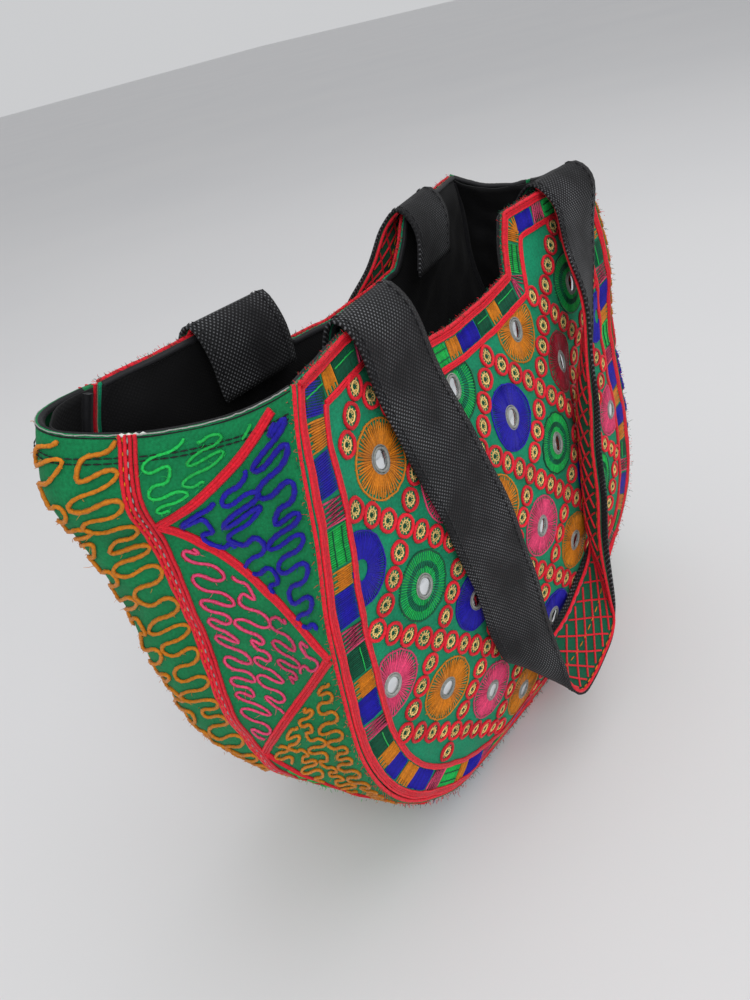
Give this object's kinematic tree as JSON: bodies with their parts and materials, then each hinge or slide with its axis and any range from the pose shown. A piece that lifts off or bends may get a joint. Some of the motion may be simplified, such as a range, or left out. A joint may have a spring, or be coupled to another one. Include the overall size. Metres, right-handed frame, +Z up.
{
  "type": "tote bag",
  "caption": "Embroidered cloth tote bag with a notched open mouth, a curved base, mirrored medallions and two flopped straps.",
  "frame": {"origin": "middle of the bag's box at the level of the surface that it stands on", "axes": "+X along the bag, +Y from the front panel to the back panel, +Z up"},
  "size_m": [0.4062, 0.1976, 0.3222],
  "materials": {
    "embroidered_cloth": "matt cotton with thread embroidery",
    "lining": "matt black non-woven",
    "strap_backing": "matt black non-woven, lightly embossed",
    "strap_face": "matt green cotton with thread lattice"
  },
  "bodies": {
    "root": {"front_panel": "embroidered_cloth", "back_panel": "embroidered_cloth", "front_gusset_strip": "embroidered_cloth", "back_gusset_strip": "embroidered_cloth", "front_lining": "lining", "back_lining": "lining", "gusset_lining": "lining", "front_handle_backing": "strap_backing", "front_handle_face": "strap_face", "back_handle_backing": "strap_backing", "back_handle_face": "strap_face"}
  },
  "joints": []
}
